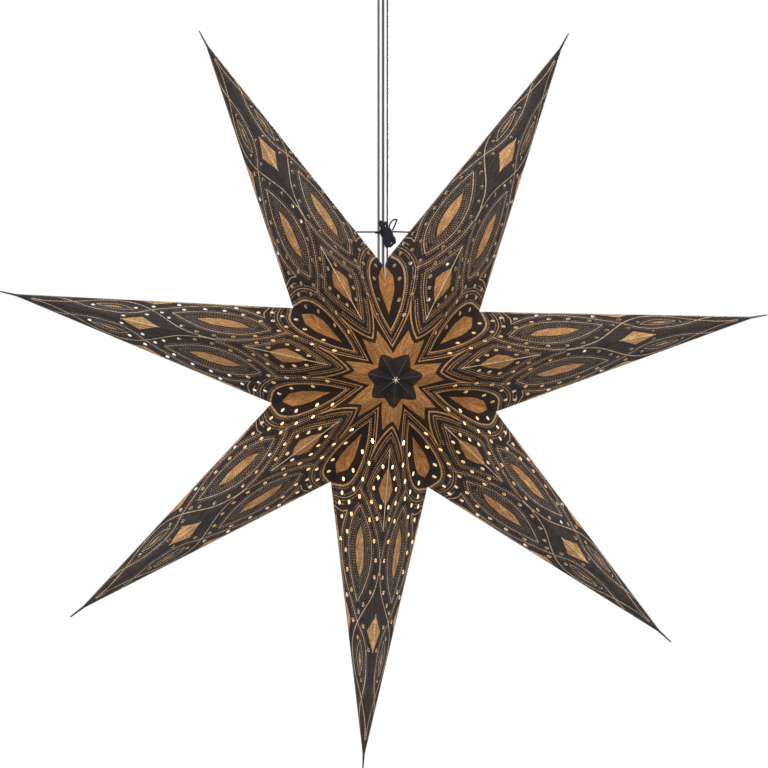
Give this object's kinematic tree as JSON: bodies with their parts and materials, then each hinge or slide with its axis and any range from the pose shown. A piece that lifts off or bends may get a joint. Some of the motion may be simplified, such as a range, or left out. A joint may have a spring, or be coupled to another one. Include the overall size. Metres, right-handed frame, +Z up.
{
  "type": "folded paper star lantern",
  "caption": "Pointed star lantern of folded printed card arms glued edge to edge, hung on a flat lamp flex from a small ceiling cup, with a lamp inside.",
  "frame": {"origin": "on the ceiling, in the middle of the two screws of the ceiling plate", "axes": "+Z up, +X to the right and -Y towards the viewer, as the star is seen in the picture"},
  "size_m": [0.4907, 0.15, 0.5396],
  "materials": {
    "printed_card": "near-black brown card printed in ochre and gold line, satin",
    "string": "thin black cotton string",
    "flex": "white flat twin lamp flex",
    "holder": "white moulded plastic",
    "bulb": "frosted glass globe",
    "ceiling_plastic": "white moulded plastic"
  },
  "bodies": {
    "root": {"arm_1": "printed_card", "arm_2": "printed_card", "arm_3": "printed_card", "arm_4": "printed_card", "arm_5": "printed_card", "arm_6": "printed_card", "arm_7": "printed_card", "tie_string": "string", "lamp_flex": "flex", "lamp_holder": "holder", "lamp_bulb": "bulb", "ceiling_plate": "ceiling_plastic", "ceiling_cup": "ceiling_plastic", "cord_grip": "ceiling_plastic"}
  },
  "joints": []
}
